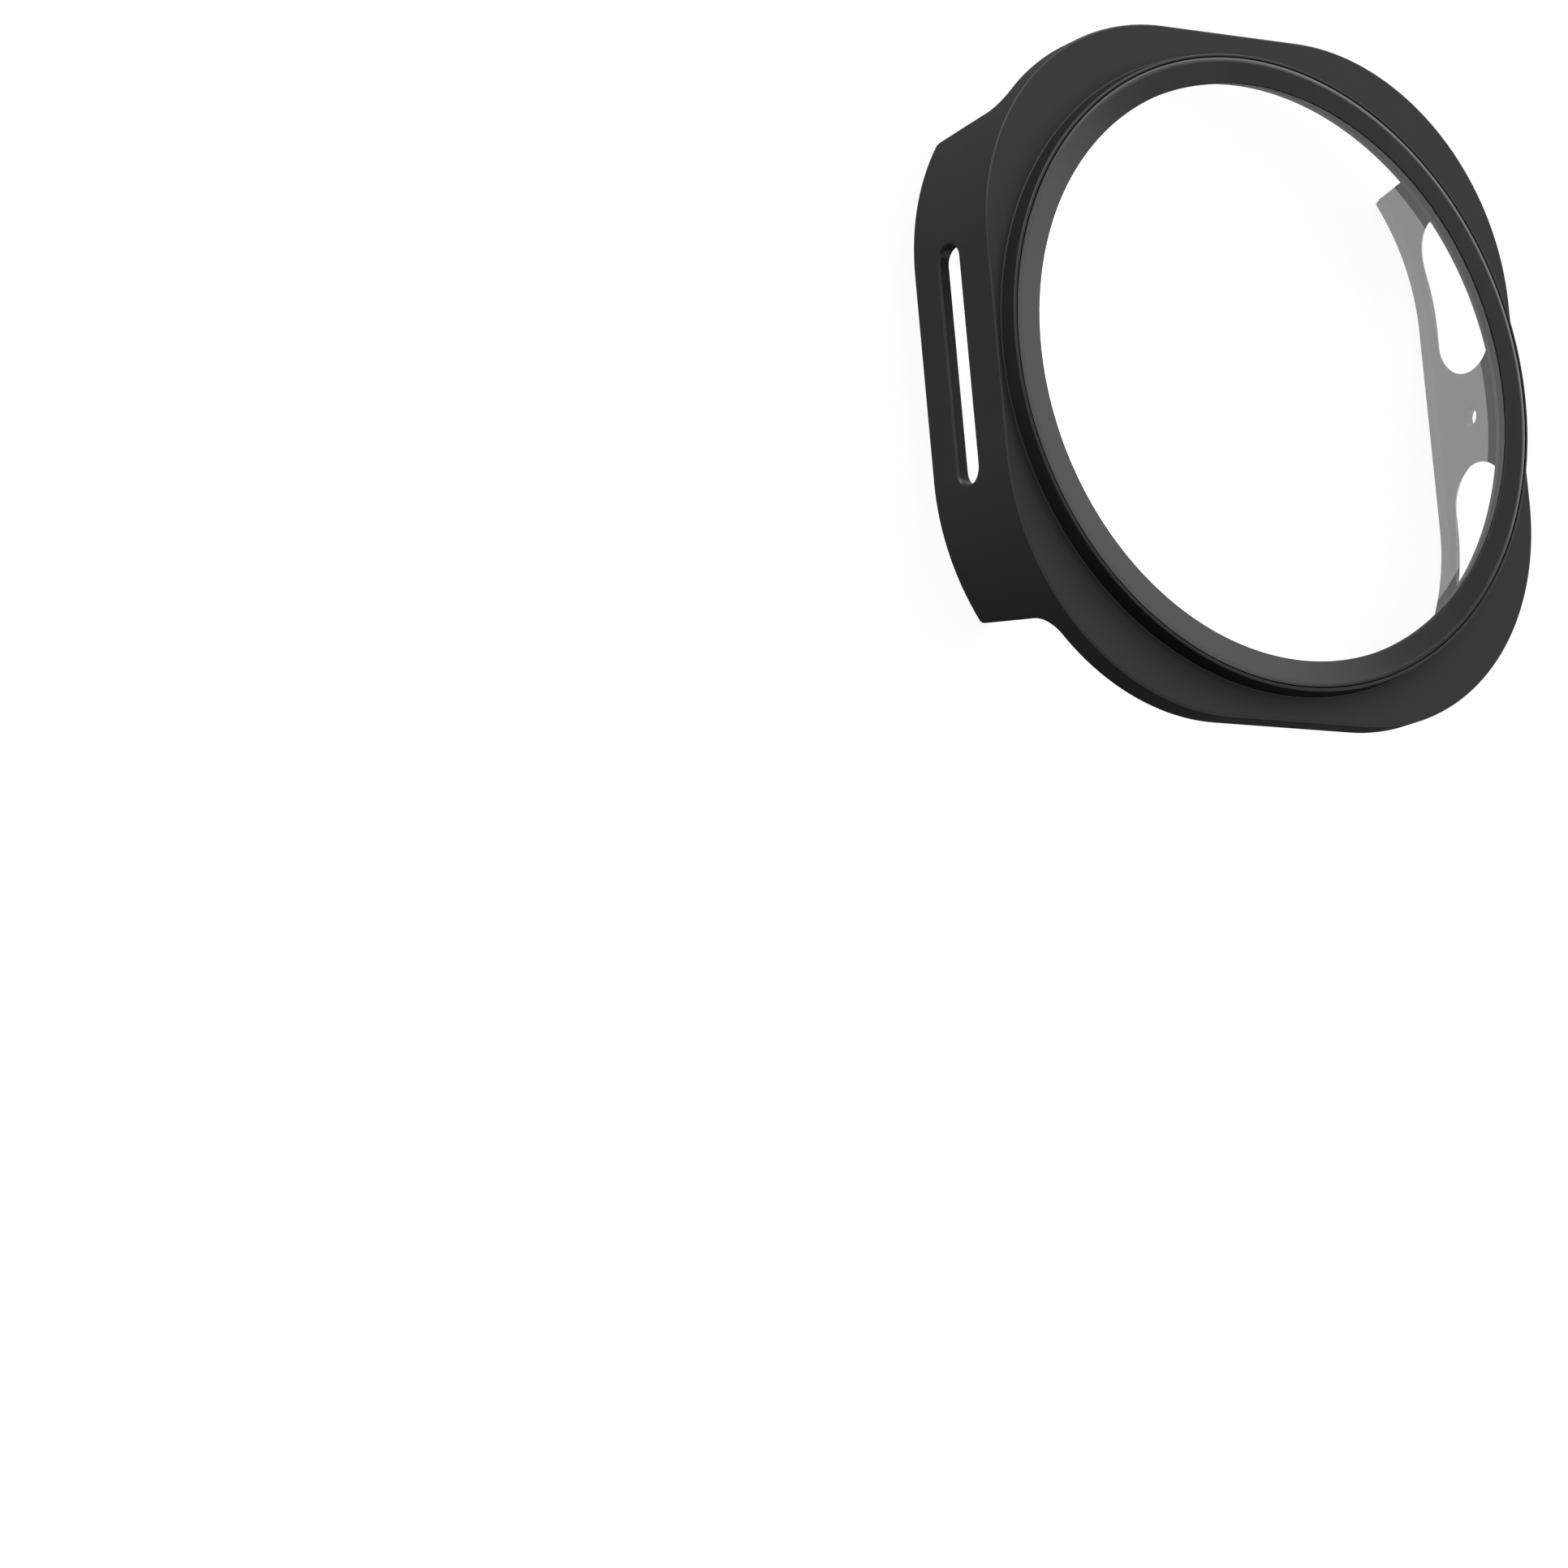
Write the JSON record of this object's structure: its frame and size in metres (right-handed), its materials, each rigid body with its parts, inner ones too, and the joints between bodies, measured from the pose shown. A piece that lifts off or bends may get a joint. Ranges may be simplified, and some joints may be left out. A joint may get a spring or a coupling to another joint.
{
  "type": "smartwatch bumper case",
  "caption": "Matte black clip-on bumper case for a cushion-shaped smartwatch, with a round turret and clear front lens, button windows, a speaker slot and open strap sides.",
  "frame": {"origin": "on the turret's axis, at the rear edge of the two deep side walls, which the case stands on", "axes": "+Z out of the lens, +Y towards the twelve o'clock strap side, +X towards the button side"},
  "size_m": [0.0458, 0.0484, 0.0098],
  "materials": {
    "shell": "fine matte black polycarbonate",
    "glass": "clear polished",
    "gloss_black": "glossy black bezel",
    "adhesive": "matt black"
  },
  "bodies": {
    "root": {"bumper_frame": "shell", "lens": "glass", "bezel_ring": "gloss_black", "bond_ring": "adhesive"}
  },
  "joints": []
}
